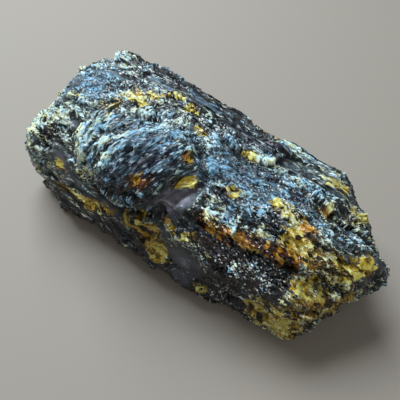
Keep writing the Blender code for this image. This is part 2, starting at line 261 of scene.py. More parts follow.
# %% Places on the lump
UNDER_KNOB = ((-30, 152), (-26, 161), (-21, 171), (-15, 178), (-7, 180), (2, 175), (7, 168))
RIDGES = {  # path, half-width, height (negative for a crease)
    "under_knob": (UNDER_KNOB, 1.8, -2.8),
    "beside_lens": (((7, 168), (10, 159), (13, 151), (17, 142), (18, 134), (16, 124), (12, 114)), 1.7, -2.6),
    "outer_fold": (((-44, 162), (-34, 178), (-28, 184), (-19, 188), (-10, 187), (-2, 186)), 1.9, 1.5),
    "over_knob": (((-33, 150), (-27, 130), (-14, 113), (-2, 105), (9, 107), (15, 118)), 2.4, -0.9),
    "streak": (((-4, 182), (2, 185), (7, 189), (11, 196)), 2.6, 1.6),
    "beside_streak": (((5, 177), (10, 186), (15, 196)), 1.8, -1.2),
    "lower_edge": (((-46, 206), (-26, 204), (-8, 206), (6, 204), (22, 208), (44, 210)), 3.5, 1.6),
    "saddle": (((-20, 96), (-4, 88), (12, 84), (28, 88)), 2.0, -0.7),
    "back_groove": (((-46, 62), (-10, 66), (24, 64), (52, 58)), 1.8, -1.0),
    "back_rib": (((-52, 42), (-16, 34), (22, 40), (50, 36)), 4.0, 1.3),
    "back_low_groove": (((-58, 12), (-24, 2), (16, 8), (52, -4)), 2.2, -1.6),
    "back_low_rib": (((-44, -18), (0, -22), (40, -24)), 4.0, 1.2),
    "end_groove": (((52, 120), (58, 84), (57, 40)), 2.0, -1.4),
}
LEDGES = {  # path, height of the step, distance over which it dies away
    "knob_foot": (UNDER_KNOB, 1.6, 6),
    "vein": (((14, 158), (20, 157), (34, 161), (43, 164), (54, 166), (66, 178)), 2.6, 9),
    "crest": (((20, 128), (34, 134), (48, 138), (63, 154)), 1.6, 7),
    "slope_top": (((-4, 92), (13, 82), (30, 78), (56, 74)), 0.6, 10),
    "drape": (((-58, 174), (-46, 184), (-32, 197), (-17, 198), (-4, 202)), 1.8, 6),
    "low_front": (((14, 196), (30, 190), (46, 188), (62, 192)), 1.4, 8),
    "back_step": (((-62, 30), (-30, 20), (4, 26), (44, 16)), 1.6, 9),
}
HOLLOWS = {  # middle, half-length, half-width, turn away from the long axis, depth
    "lens": ((14, 153), 11, 3.6, 46, 1.0),
    "front_cleavage": ((20, 184), 10, 8, -20, 1.1),
    "left_facet": ((-34, 167), 8, 3.6, -60, 1.0),
    "end_notch": ((60, 100), 6, 3.5, 20, 2.6),
    "undercut": ((2, 214), 22, 7, 0, 2.2),
    "top_dish": ((-30, 98), 12, 8, 10, 1.4),
    "plateau_dish": ((26, 112), 13, 6.5, -5, 1.1),
    "back_scar": ((-12, 18), 20, 9, 4, 2.4),
    "back_end_scar": ((38, 2), 16, 8, -8, 2.2),
    "back_left_scar": ((-50, 4), 11, 10, 0, 1.8),
    "foot_undercut": ((62, 214), 6, 5, 30, 2.0),
    "low_left_scar": ((-46, 208), 12, 6, 10, 1.4),
}
SMOOTH_HOLLOWS = ("lens", "front_cleavage", "left_facet")
CHIPS_LEFT, CHIPS_RETURN = 0.1, 2.5  # share of the chips in a smooth hollow, and how fast it grows outwards
LEDGE_EDGE = 1.0
DEPTH_SHARE = 1.5


def on_lump(spots):
    """Surface points at (x, degrees): rays that leave the long axis square to it."""
    x, turn = np.array(spots, float).T
    turn = np.radians(turn)
    start = np.stack([x, 0 * x, 0 * x + AXIS_HEIGHT], axis=1)
    return cast(start, np.stack([0 * x, np.cos(turn), np.sin(turn)], axis=1))


def path_reach(p, spots):
    """Distance to the nearest stretch of a path, and the sign of the side of it that a point is on."""
    points = on_lump(spots)
    best, side = np.full(len(p), 1e3), np.ones(len(p))
    for start, end in zip(points[:-1], points[1:]):
        run = end - start
        share = np.clip((p - start) @ run / (run @ run), 0, 1)
        apart = p - start - share[:, None] * run
        far = np.linalg.norm(apart, axis=1)
        outward = (start + end) / 2 * (0, 1, 1) - (0, 0, AXIS_HEIGHT)
        closer = far < best
        side = np.where(closer, np.sign(apart @ np.cross(run, outward)), side)
        best = np.where(closer, far, best)
    return best, side


def ridge(p, spots, half_width, height):
    """Height x e^-(distance / half-width)^2."""
    far, _ = path_reach(p, spots)
    return height * np.exp(-((far / half_width) ** 2))


def ledge(p, spots, height, fade):
    """Half the height up on one side and down on the other, x e^-(distance / fade), eased at the edge."""
    far, side = path_reach(p, spots)
    return -side * height / 2 * np.clip(far / LEDGE_EDGE, 0, 1) * np.exp(-far / fade)


def spread(p, spot, half_length, half_width, turned):
    """Squared distance from a spot, in half-lengths and half-widths: 1 on the rim of an oval patch.

    Depth counts too, so that a patch stays on its own side of the lump."""
    middle = on_lump([spot])[0]
    out = middle * (0, 1, 1) - (0, 0, AXIS_HEIGHT)
    out /= np.linalg.norm(out)
    turned = math.radians(turned)
    length_way = np.array([math.cos(turned), 0, 0]) + np.cross(out, (1, 0, 0)) * math.sin(turned)
    apart = p - middle
    far = ((apart @ length_way) / half_length) ** 2 + ((apart @ np.cross(out, length_way)) / half_width) ** 2
    return far + ((apart @ out) / (DEPTH_SHARE * half_width)) ** 2


form = np.zeros(len(base))
chip_share = np.ones(len(base))
for feature in RIDGES.values():
    form += ridge(base, *feature)
for feature in LEDGES.values():
    form += ledge(base, *feature)
for name, (*patch, depth) in HOLLOWS.items():
    far = spread(base, *patch)
    form -= depth * np.clip(1 - far, 0, 1)
    if name in SMOOTH_HOLLOWS:
        chip_share *= np.clip(CHIPS_RETURN * far - (CHIPS_RETURN - 1), CHIPS_LEFT, 1)
print("folds, mm:", np.round([form.min(), form.max()], 1))

# %% [markdown]
# ## Chips and fibres
#
# Over the folds lies the mosaic. Every chip is one cell of a jittered lattice: it stands a little in or
# out and leans its own way, so its edges are small cliffs and its face catches the light or misses it.
# The cells are stretched along the grain, which runs along the lump, but across it on the knob. Four
# sizes of chip lie over each other. Where the layers are seen on edge there are fibres too: noise that
# is stretched much further.

# %% Break the surface up
GRAIN = {"body": (0, -12), "knob": (62, 20)}
CHIPS = {  # length, width, step in or out, lean, salt
    "coarse": (26.0, 9.5, 0.55, 0.09, 3),
    "fine": (11.0, 4.6, 0.22, 0.10, 8),
    "small": (5.2, 2.5, 0.15, 0.12, 21),
    "crumb": (2.2, 1.3, 0.09, 0.14, 34),
}
CHIP_BEND = 0.3
FIBRES = {"spacing": 1.3, "length": 16.0, "height": 0.42, "bend": 0.8, "bend_size": 9.0}
BODY_FIBRES = 0.8  # of the height of the knob's
KNOB_FADE = 3.0
SLOPE_FROM, SLOPE_TO, SLOPE_FADE = 26, 84, 8  # degrees round the long axis
DRAPE, DRAPE_REACH = ((-20, 190), 30, 8, 0), 1.4


def along_grain(p, grain, squeeze):
    """The points with their distance along the grain multiplied by squeeze, so that cells come out long."""
    along = way(*grain)
    return p + np.outer(p @ along, along) * (squeeze - 1)


def chips(p, grain, long, across, step, lean, salt):
    """Tilted faces: the nearest jittered cell gives step x its height + lean x distance from its middle."""
    bent = along_grain(p, grain, across / long)
    bent = bent + across * CHIP_BEND * np.stack([wander(p / across, salt + k) for k in (11, 12, 13)], axis=1)
    home = np.floor(bent / across)
    nearest = np.full(len(p), 1e9)
    height = np.zeros(len(p))
    for neighbour in NEIGHBOURS:
        dice = throw(home + neighbour, salt)
        apart = bent - (home + neighbour + dice[:, :3]) * across
        far = (apart**2).sum(axis=1)
        own = step * (2 * dice[:, 3] - 1) + 2 * lean * (apart * (2 * dice[:, 4:7] - 1)).sum(axis=1)
        height = np.where(far < nearest, own, height)
        nearest = np.minimum(far, nearest)
    return height


def fibres(p, grain, salt):
    """Noise at the fibres' spacing across the grain and their length along it, with sharpened crests."""
    bent = along_grain(p, grain, FIBRES["spacing"] / FIBRES["length"])
    waves = np.stack([wander(p / FIBRES["bend_size"], salt + k) for k in (1, 2, 3)], axis=1)
    bent = bent + FIBRES["bend"] * waves
    return FIBRES["height"] * (1 - 2 * np.abs(wander(bent / FIBRES["spacing"], salt)))


on_knob = np.clip(1 - lobe(base, *LOBES["knob"]) / KNOB_FADE, 0, 1)
turn_of = np.degrees(np.arctan2(base[:, 2] - AXIS_HEIGHT, base[:, 1])) % 360
past_start, before_end = (turn_of - SLOPE_FROM) / SLOPE_FADE, (SLOPE_TO - turn_of) / SLOPE_FADE
on_slope = np.clip(past_start, 0, 1) * np.clip(before_end, 0, 1)
on_drape = np.clip(DRAPE_REACH - spread(base, *DRAPE), 0, 1)
mosaic = np.zeros(len(base))
for chip in CHIPS.values():
    body, knob = (chips(base, GRAIN[part], *chip) for part in ("body", "knob"))
    mosaic += chip_share * (body + on_knob * (knob - body))
mosaic += chip_share * on_knob * fibres(base, GRAIN["knob"], 51)
mosaic += chip_share * np.maximum(on_slope, on_drape) * BODY_FIBRES * fibres(base, GRAIN["body"], 57)
print("mosaic, mm:", np.round([mosaic.min(), mosaic.max()], 2))

# %% Push the points out and stand the lump on its flats
NORMAL_STEP = 0.25
CHIPPED_AWAY = 0.3
UNDERSIDE, REST_RADIUS, REST_HEIGHT = 2.0, 16.0, 0.3  # the level middle of the underside, and what it loses

slope = np.stack([lump(base + shift) - lump(base - shift) for shift in np.eye(3) * NORMAL_STEP], axis=1)
outward = slope / np.linalg.norm(slope, axis=1, keepdims=True)
under_middle = (base[:, 2] < UNDERSIDE) & (np.hypot(base[:, 0], base[:, 1]) < REST_RADIUS)
relief = np.where(under_middle, 0, form + mosaic - CHIPPED_AWAY)
skin = base + outward * relief[:, None]
skin[:, 2] = np.maximum(skin[:, 2] - REST_HEIGHT, 0)
shift = (skin.max(axis=0)[:2] + skin.min(axis=0)[:2]) / 2
skin[:, :2] -= shift
skin = np.clip(skin, LOW, HIGH)
print("moved to the middle by, mm:", np.round(shift, 2), " size:", np.round(np.ptp(skin, axis=0), 1))

# %% Make the mesh
MM = 0.001


def mesh_object(name, points, faces):
    """Points and quads, straight from the arrays."""
    mesh = bpy.data.meshes.new(name)
    mesh.vertices.add(len(points))
    mesh.vertices.foreach_set("co", points.ravel())
    mesh.loops.add(faces.size)
    mesh.loops.foreach_set("vertex_index", faces.ravel())
    mesh.polygons.add(len(faces))
    mesh.polygons.foreach_set("loop_start", np.arange(0, faces.size, faces.shape[1]))
    mesh.update(calc_edges=True)
    mesh.validate()
    piece = bpy.data.objects.new(name, mesh)
    bpy.context.scene.collection.objects.link(piece)
    return piece


amber = mesh_object("amber_lump", skin * MM, quads)
amber.data.shade_smooth()
print("faces:", len(amber.data.polygons))

# %% [markdown]
# ## Where each finish lies
#
# A finish that follows the form is painted by place. Gold shows along broken edges, where the amber is
# thin and clean, and ember where it is thicker. Pale crust clings to old weathered faces. Blue-grey
# flakes cover the faces that look up: partly the amber's own blue, partly painted sky reflection. Slate
# is the skin of clean breaks, and its light lavender-grey on the lens is partly painted sheen. Dark is
# where the amber is clean but too thick to let light through, and it is also painted shade in the
# creases under the knob and beside the lens, along the lower front edge and on the underside. Each
# finish is a list of ovals and bands, given like the folds, with a strength. Noise frays their rims. The
# result is kept on the points as one number for each finish, which the material reads.

# %% Ovals and bands of each finish
OVALS = {  # finish: x, degrees, half-length, half-width, turn away from the axis, strength
    "gold": (
        (-18, 100, 6, 3.5, -20, 1.0), (-22, 112, 5, 2.6, 20, 0.65), (-12, 90, 5, 3, 0, 0.7),
        (-6, 82, 5, 2.6, 0, 0.55), (1, 86, 3, 2, 0, 1.1), (8, 100, 2.2, 1.6, 0, 0.9),
        (11, 127, 1.8, 1.5, 0, 1.2), (13, 142, 3.6, 1.6, 40, 1.15), (3, 148, 6, 2.6, 20, 0.7),
        (15, 170, 1.4, 1.3, 0, 1.4), (11, 169, 3, 1.6, 0, 0.7), (21, 167, 4, 1.6, 35, 0.8),
        (28, 133, 4, 2.2, -10, 0.8), (25, 93, 4, 1.6, 0, 0.8), (22, 133, 2.4, 2, 0, 0.5),
        (51, 137, 4, 2, -30, 0.9), (53, 106, 2.4, 1.6, 0, 0.9), (52, 62, 6, 3, 0, 0.55),
        (60, 76, 4, 4, 0, 0.6), (62, 184, 7, 4, 0, 0.85), (61, 188, 2.4, 2, 0, 1.0),
        (57, 177, 6, 4, 0, 0.75), (62, 198, 9, 6, 0, 0.8), (45, 197, 2.2, 4.4, 0, 1.1),
        (47, 186, 5, 3, 0, 0.55), (55, 200, 10, 10, 0, 0.95), (26, 202, 3, 2, 0, 0.8),
        (66, 196, 6, 7, 0, 0.75), (-35, 170, 4, 1.4, -60, 0.8), (-39, 115, 2.6, 2, 0, 0.5),
        (-34, 12, 9, 4, 10, 0.6), (22, 16, 8, 3, -12, 0.7), (48, 350, 7, 4, 0, 0.7),
        (-58, 40, 5, 4, 30, 0.5),
    ),
    "ember": (
        (-22, 112, 6, 2.8, 20, 0.6), (1, 86, 3, 2, 0, 0.4), (11, 127, 1.8, 1.5, 0, 0.5),
        (3, 148, 8, 4, 20, 1.0), (15, 170, 2, 2, 0, 0.45), (11, 169, 3, 2, 0, 0.9),
        (28, 133, 4, 2.2, -10, 0.5), (51, 137, 4, 2.4, -30, 0.8), (53, 106, 2.4, 1.6, 0, 0.5),
        (57, 157, 3, 3, 0, 0.9), (61, 188, 2.4, 2, 0, 0.8), (45, 197, 2.2, 4.4, 0, 0.5),
        (57, 190, 4, 3, 0, 0.6), (67, 192, 4, 4, 0, 0.7), (22, 16, 8, 3, -12, 0.8),
    ),
    "crust": (
        (-36, 61, 4, 4, 0, 0.8), (-34, 124, 4, 3, 0, 0.8), (-40, 140, 3, 3, 0, 0.8),
        (-48, 160, 10, 14, 0, 0.55), (-14, 143, 8, 8, 0, 1.1), (-19, 77, 5, 3, 0, 1.0),
        (-12, 90, 5, 3, 0, 0.6), (6, 80, 7, 4, 0, 1.1), (34, 54, 9, 6, 0, 1.0),
        (5, 116, 4, 2.6, -20, 1.1), (8, 113, 6, 4, 0, 0.6), (21, 147, 3.6, 3.4, 0, 1.15),
        (19, 152, 4, 2, 30, 0.9), (22, 133, 2.6, 2, 0, 0.9), (36, 147, 3, 2, 0, 0.8),
        (51, 144, 3, 1.6, 0, 1.15), (59, 81, 4, 6, 0, 1.1), (51, 61, 9, 5, 0, 1.1),
        (62, 168, 3, 1.2, 0, 1.0), (56, 182, 3.4, 3, 0, 1.2), (45, 133, 6, 3.5, -20, 1.2),
        (56, 175, 3, 2, 0, 0.8), (53, 187, 5, 2, 0, 0.9), (62, 186, 4, 1.5, 0, 0.9),
        (52, 163, 3, 2, 0, 0.8), (24, 155, 5, 5, 0, 1.4), (15, 172, 6, 3, 0, 1.0),
        (22, 170, 5, 4, 0, 1.0), (-56, 60, 10, 10, 0, 0.5), (54, 196, 12, 10, 0, 1.1),
        (30, 350, 18, 8, 0, 0.35), (59, 132, 14, 10, 0, 0.9), (44, 112, 14, 8, 0, 0.4),
        (-47, 142, 22, 20, 0, 1.25), (-20, 112, 34, 18, 0, 0.6), (14, 120, 30, 20, 0, 0.5),
        (61, 170, 12, 11, 0, 1.1), (34, 144, 22, 12, 0, 0.6), (4, 188, 10, 5, 20, 0.9),
        (55, 178, 2.6, 2, 0, 1.6), (57, 175, 3, 1.6, 0, 1.5), (61, 182, 4, 1.4, 0, 1.5),
        (66, 175, 3.4, 1.4, 0, 1.4), (53, 187, 3, 2, 0, 1.5), (62, 187, 2.6, 1.6, 0, 1.3),
        (41, 151, 3.6, 1.4, 0, 1.6),
    ),
    # blue: partly the amber's own blue and partly a painted sky reflection on the faces that look up
    "blue": (
        (-38, 97, 8, 5, 0, 1.3), (-40, 98, 14, 10, 0, 1.0), (0, 134, 13, 12, 20, 0.95),
        (-3, 130, 10, 4, 52, 1.25), (-17, 149, 4, 3, 0, 0.9), (-8, 154, 4, 2, 20, 1.3),
        (1, 146, 3.4, 1.1, 35, 1.4), (8, 131, 6, 1.6, 50, 1.1), (30, 118, 19, 9, -4, 0.95),
        (20, 124, 7, 6, 0, 1.15), (29, 141, 4, 1.4, -70, 1.4), (33, 140, 4, 1.5, -70, 1.2),
        (50, 130, 6, 3, -20, 0.7), (61, 128, 5, 3, 0, 0.7), (24, 161, 3, 1.6, 0, 0.7),
        (42, 149, 3, 2, 0, 0.6), (-10, 74, 30, 8, 0, 0.35), (10, 45, 50, 14, 0, 0.3),
    ),
    "slate": (
        # the lens (12, 156) and the small facet (-33, 139) are painted strong enough to reach the light end
        # of the slate ramp, a painted sheen
        (12, 156, 10, 3.3, 50, 2.4), (21, 188, 8, 5.5, -20, 1.4), (-34, 167, 7, 3.4, -60, 1.8),
        (68, 163, 4, 4, 0, 1.4), (-33, 139, 2.0, 1.8, 0, 2.4), (19, 201, 6, 3, 0, 1.2),
        (-12, 18, 20, 9, 4, 0.8),
    ),
    # dark is partly the amber's own black and partly painted shade: the ovals at 207 and 208 degrees along
    # the lower front edge and at 250 degrees under the lump are painted shade
    "dark": (
        (9, 144, 4, 3, 0, 1.0), (3, 149, 7, 3, 20, 1.4), (6, 154, 5, 2.6, 0, 0.8),
        (1, 158, 6, 2.6, 0, 1.0), (-7, 159, 6, 2.4, 0, 1.0), (1, 134, 7, 1.3, 52, 1.0),
        (-42, 149, 4, 3.5, 0, 1.0), (-8, 66, 16, 9, 0, 1.1), (24, 78, 12, 5, 0, 0.6),
        (-13, 105, 2.4, 1.6, 0, 1.0), (27, 119, 1.8, 3, 0, 0.9), (32, 108, 2.6, 1.5, 0, 1.0),
        (44, 106, 2.6, 2, 0, 1.0), (25, 139, 3, 1.4, 0, 0.9), (34, 174, 6, 3, 0, 1.2),
        (35, 137, 4, 1.3, -20, 1.0), (39, 139, 4, 1.4, -40, 1.0), (42, 145, 4.6, 2.4, -45, 1.3),
        (36, 152, 2.6, 2, 0, 1.2), (18, 165, 2.4, 2, 0, 0.9), (6, 137, 6, 5, 40, 0.8),
        (40, 182, 18, 9, 0, 1.0), (51, 158, 3, 1.5, 0, 0.9), (64, 183, 4, 2, 0, 1.0),
        (68, 179, 3, 2, 0, 1.0), (60, 113, 2.6, 3, 0, 1.3), (-8, 207, 44, 8, 0, 1.1),
        (30, 208, 18, 7, 0, 1.1), (-44, 190, 8, 5, 0, 0.7), (0, 250, 80, 24, 0, 0.6),
    ),
}
VEIN = ((23, 156), (29, 159), (34, 160), (38, 159), (41, 159), (46, 160), (51, 163))
VEIN_END = ((48, 149), (52, 152), (57, 157))
BANDS = {  # finish: path, half-width, strength
    "gold": (
        (((-3, 183), (3, 186), (7, 189), (10, 192)), 2.8, 1.6),
        (((-36, 187), (-19, 188), (-10, 186)), 1.8, 0.7),
        (VEIN, 2.3, 1.1), (VEIN_END, 3.3, 1.25),
        (((41, 130), (44, 132), (48, 137)), 2.4, 1.3),
        (((60, 157), (64, 161), (69, 160)), 3.4, 0.9), (((59, 170), (66, 167)), 2.4, 0.9),
    ),
    "ember": (
        (VEIN, 3.2, 1.5), (VEIN_END, 3.3, 0.6),
    ),
    "crust": (
        (((-37, 62), (-27, 75)), 2.6, 0.8), (((-46, 74), (-49, 85)), 2.5, 0.9),
        (((-41, 134), (-48, 140)), 2.6, 1.0),
        (((-25, 134), (-25, 145), (-20, 153), (-14, 157)), 3.2, 1.3),
        (((-10, 119), (-4, 114)), 2.2, 0.9), (((27, 92), (31, 90), (35, 89), (41, 90)), 2.2, 1.1),
        (((33, 133), (37, 129), (41, 127)), 1.8, 0.9), (((40, 149), (44, 150)), 2.0, 1.4),
        (((57, 147), (63, 144), (67, 146)), 2.6, 1.0), (((61, 180), (66, 178)), 1.8, 1.0),
        (((-40, 178), (-24, 190), (-4, 190), (8, 190)), 2.6, 0.9),
    ),
    "blue": (),
    "slate": (
        (((-46, 130), (-43, 123), (-45, 107)), 2.2, 1.3),
        (((-31, 176), (-25, 182), (-17, 184), (-8, 183)), 1.8, 0.95),
    ),
    "dark": (
        # the first two bands are painted shade in the creases under the knob and beside the lens
        (UNDER_KNOB, 1.6, 1.2),
        (((7, 168), (10, 160), (14, 150), (17, 142), (18, 134)), 1.2, 1.1),
        (((24, 166), (32, 168), (42, 168), (52, 171)), 3.2, 1.3),
        (((-8, 151), (-4, 143), (-1, 135)), 1.1, 1.5), (((-1, 147), (2, 139), (5, 131)), 1.1, 1.4),
        (((-5, 134), (-2, 127), (1, 119)), 1.0, 1.4), (((-15, 151), (-13, 143), (-10, 135)), 0.9, 1.2),
    ),
}

# %% Paint by place
BELL = 0.7
FRAY_SIZE, FRAY, FRAY_SALT = 2.6, 0.3, 70
SQUEEZE = {"body": 0.65, "knob": 0.22, "slope": 0.12}


def painted(p, finish):
    """The strongest bell, e^(-BELL x squared distance), of all the ovals and bands, times a little noise."""
    shown = np.zeros(len(p))
    for x, turn, half_length, half_width, turned, strength in OVALS[finish]:
        far = spread(p, (x, turn), half_length, half_width, turned)
        shown = np.maximum(shown, strength * np.exp(-BELL * far))
    for spots, half_width, strength in BANDS[finish]:
        far, _ = path_reach(p, spots)
        shown = np.maximum(shown, strength * np.exp(-BELL * (far / half_width) ** 2))
    return shown * (1 + FRAY * wander(p / FRAY_SIZE, FRAY_SALT + len(finish)))


def keep(piece, name, numbers):
    """Stores one number, or one vector, for each point of a piece."""
    kind, field = ("FLOAT_VECTOR", "vector") if numbers.ndim == 2 else ("FLOAT", "value")
    stored = piece.data.attributes.new(name, kind, "POINT")
    stored.data.foreach_set(field, numbers.astype(np.float32).ravel())


for finish in OVALS:
    shown = painted(base, finish)
    keep(amber, finish, shown)
    print(finish, "covers about", f"{(shown > 0.5).mean():.0%}")
striped = np.maximum(on_slope, on_drape) > 0.5
grain = along_grain(base, GRAIN["body"], SQUEEZE["body"])
grain = np.where(striped[:, None], along_grain(base, GRAIN["body"], SQUEEZE["slope"]), grain)
grain = np.where((on_knob > 0.5)[:, None], along_grain(base, GRAIN["knob"], SQUEEZE["knob"]), grain)
keep(amber, "grain", grain)
keep(amber, "striped", striped.astype(float))


def standing_out(points, faces, outward, rounds):
    """How far each point lies outside the mean of its neighbours, averaged in rounds, as standard scores."""
    edges = np.concatenate([faces[:, [i, (i + 1) % 4]] for i in range(4)])
    count = np.bincount(edges[:, 0], minlength=len(points))[:, None]
    mean = points
    for _ in range(rounds):
        mean = np.stack([np.bincount(edges[:, 0], weights=mean[edges[:, 1], k], minlength=len(points))
                         for k in range(3)], axis=1) / count
    out = ((points - mean) * outward).sum(axis=1)
    return out / out.std()


keep(amber, "edge", standing_out(skin, quads, outward, 3))
keep(amber, "proud", standing_out(skin, quads, outward, 24))

# %% [markdown]
# ## Writing a material as expressions
#
# A node tree is a sum, and it is easier to read as one. A small class wraps a socket so that + - * / on
# it add Math nodes. Every other node comes from one method, which takes its type, its settings and what
# goes in.

# %% A socket that can be reckoned with
class Value:
    """One output socket. Expressions on it add Math nodes to the same tree."""

    def __init__(self, recipe, socket):
        self.recipe, self.socket = recipe, socket

    def math(self, operation, *others, clamp=False):
        settings = {"operation": operation, "use_clamp": clamp}
        return self.recipe.add("ShaderNodeMath", settings, dict(enumerate((self, *others))))

    def __add__(self, other):
        return self.math("ADD", other)

    def __sub__(self, other):
        return self.math("SUBTRACT", other)

    def __mul__(self, other):
        return self.math("MULTIPLY", other)

    def __truediv__(self, other):
        return self.math("DIVIDE", other)

    def __rsub__(self, other):
        return (self * -1).math("ADD", other)

    __radd__ = __add__

    def swing(self, weight):
        """A number from 0 to 1 made to count half a weight each way."""
        return (self - 0.5) * weight

    def clamped(self):
        """Kept between 0 and 1."""
        return self.math("ADD", 0, clamp=True)

    def above(self, edge, soft):
        """0 below an edge and 1 above it, over a soft width."""
        return ((self - edge) / soft).math("ADD", 0.5, clamp=True)


class Recipe:
    """A material's node tree."""

    def __init__(self, name):
        self.material = bpy.data.materials.new(name)
        self.material.use_nodes = True
        self.tree = self.material.node_tree
        self.tree.nodes.clear()

    def add(self, kind, settings=None, inputs=None, take=0):
        """A node with its settings, then the values or links of its sockets. Returns one output."""
        node = self.tree.nodes.new(kind)
        for name, setting in (settings or {}).items():
            if name == "stops":
                self.set_stops(node.color_ramp, setting)
            else:
                setattr(node, name, setting)
        for name, given in (inputs or {}).items():
            if isinstance(given, Value):
                self.tree.links.new(given.socket, node.inputs[name])
            else:
                node.inputs[name].default_value = given
        return Value(self, node.outputs[take]) if len(node.outputs) else None

    def set_stops(self, ramp, stops):
        """Places and colours of a ramp."""
        while len(ramp.elements) < len(stops):
            ramp.elements.new(1.0)
        for element, (place, colour) in zip(ramp.elements, stops):
            element.position, element.color = place, (*colour, 1)

    def stored(self, name, take="Fac"):
        """What keep() stored on the points."""
        return self.add("ShaderNodeAttribute", {"attribute_name": name}, take=take)

    def mix(self, share, first, second):
        """Colour between two colours."""
        first, second = (c if isinstance(c, Value) else (*c, 1) for c in (first, second))
        return self.add("ShaderNodeMix", {"data_type": "RGBA"}, {0: share, 6: first, 7: second}, take=2)

    def ramp(self, share, *stops):
        """Colour at a place on a ramp."""
        return self.add("ShaderNodeValToRGB", {"stops": stops}, {"Fac": share})

    def vector(self, operation, first, second):
        """Sum or difference of two vectors."""
        return self.add("ShaderNodeVectorMath", {"operation": operation}, {0: first, 1: second})

    def flakes(self, place, size):
        """Cells of a size in millimetres: three random numbers for each, and the colour that holds them."""
        colour = self.add("ShaderNodeTexVoronoi", {}, {"Vector": place, "Scale": 1 / size}, take="Color")
        parts = [self.add("ShaderNodeSeparateColor", {}, {"Color": colour}, take=n) for n in range(3)]
        return parts, colour

    def rims(self, place, size, width):
        """1 on the border between two cells of flakes(), falling to 0 at a width in millimetres."""
        apart = self.add("ShaderNodeTexVoronoi", {"feature": "DISTANCE_TO_EDGE"},
                         {"Vector": place, "Scale": 1 / size}, take="Distance")
        return 1 - (apart * (size / width)).math("MINIMUM", 1)

    def noise(self, place, size, detail, roughness, take="Fac"):
        """Noise with spots of a size in millimetres, from 0 to 1 about 0.5."""
        given = {"Vector": place, "Scale": 0.5 / size, "Detail": detail, "Roughness": roughness}
        return self.add("ShaderNodeTexNoise", {}, given, take=take)

    def shaken(self, vector, colour, scale):
        """A vector moved by how far a colour is from mid-grey, times a scale."""
        away = self.vector("SUBTRACT", colour, (0.5, 0.5, 0.5))
        away = self.add("ShaderNodeVectorMath", {"operation": "SCALE"}, {0: away, "Scale": scale})
        return self.vector("ADD", vector, away)


# %% [markdown]
# ## Amber, clear and crusted
#
# Everything here is one ground with pale matter on it. The ground is the amber itself, in flakes of
# four sizes that each have their own tone: black and navy where it is thick, with the navy partly a
# painted sky reflection, and gold and ember where light comes back out of it. The pale matter is what is
# torn and weathered: crumbs, the rims of flakes and whole crushed patches, turning blue-white as painted
# sky glints where blue is painted. Each flake has a share of it, and the shares of the four sizes are
# added. How much there is, and its colour, is painted by place. A thin film of crust greys the dark
# ground, tiny near-white grains are painted glints over everything, and what lies in a hollow gets
# painted shade. Clean gold and some dark shards are clear amber: they let light through and bend it as
# amber does, and the body behind them swallows blue first, then green. Each flake's normal leans its own
# way, which makes the piece glitter, and the painted glints add to it.

# %% The amber
IOR = 1.54
SWALLOWED = {"colour": (0.93, 0.74, 0.06), "per_metre": 2200.0}
CLEARNESS = {"gold": 0.45, "shard": 0.6}
PLATE, SHARD, SPLINTER, CHIP, GLINT_SIZE = 4.2, 1.8, 0.8, 0.4, 0.36  # cells, in millimetres
LEAN = {"plate": 0.12, "shard": 0.22, "splinter": 0.34, "chip": 0.45}
PLATE_RIM, SHARD_RIM = 0.14, 0.10
TORN, TORN_BY = (1.2, 2.0, 0.6), 0.9  # noise: size in millimetres, detail and roughness
BLOTCH, CRUMB = (4.0, 3, 0.6), (0.4, 2, 0.7)
STARTS = {  # where each look begins to show, and over how much it comes in
    "golden": (0.5, 0.15), "bluish_sheen": (0.45, 0.5), "slaty": (0.65, 0.1), "pale": (0.70, 0.44),
    "painted_glints": (0.95, 0.04), "hollow": (1.1, 1.0), "clear": (0.7, 0.06),
}
# painted shade in the hollows: its strength and near-black colour; then the near-white colour of the painted
# glints
PAINTED_HOLLOW_SHADE = 0.65
PAINTED_HOLLOW_SHADE_COLOUR, PAINTED_GLINT_COLOUR = (0.002, 0.003, 0.003), (0.88, 0.92, 0.86)
THIN_CRUST = (0.075, 0.102, 0.112)
DARK = ((0.0, (0.001, 0.001, 0.002)), (0.3, (0.003, 0.007, 0.007)), (0.5, (0.022, 0.009, 0.007)),
        (0.7, (0.008, 0.022, 0.022)), (0.85, (0.032, 0.022, 0.044)), (1.0, (0.002, 0.002, 0.003)))
# navy ground: dark blue amber, its lighter blue stops partly a painted sky reflection
NAVY_AND_SHEEN = ((0.0, (0.003, 0.006, 0.012)), (0.3, (0.012, 0.022, 0.042)), (0.45, (0.032, 0.034, 0.060)),
        (0.6, (0.042, 0.105, 0.145)), (0.8, (0.16, 0.27, 0.36)), (0.92, (0.07, 0.06, 0.13)),
        (1.0, (0.006, 0.014, 0.026)))
GOLD = ((0.0, (0.020, 0.014, 0.002)), (0.3, (0.25, 0.16, 0.006)), (0.65, (0.78, 0.55, 0.014)),
        (1.0, (0.94, 0.87, 0.22)))
EMBER = ((0.0, (0.012, 0.004, 0.002)), (0.35, (0.14, 0.034, 0.003)), (0.75, (0.62, 0.22, 0.004)),
         (1.0, (0.86, 0.50, 0.05)))
# slate: the dark stops are the breaks' own skin; the light lavender-grey end, reached on the lens, is partly
# painted sheen
SLATE_AND_SHEEN = ((0.0, (0.010, 0.012, 0.017)), (0.4, (0.055, 0.062, 0.085)), (1.0, (0.50, 0.49, 0.60)))
PALE = ((0.0, (0.14, 0.36, 0.56)), (0.22, (0.39, 0.66, 0.76)), (0.45, (0.68, 0.79, 0.63)),
        (0.65, (0.76, 0.80, 0.40)), (0.85, (0.66, 0.58, 0.12)), (1.0, (0.50, 0.28, 0.04)))

recipe = Recipe("dark_amber")
straight = recipe.stored("grain", "Vector")
place = recipe.shaken(straight, recipe.noise(straight, *TORN, take="Color"), 2 * TORN_BY)
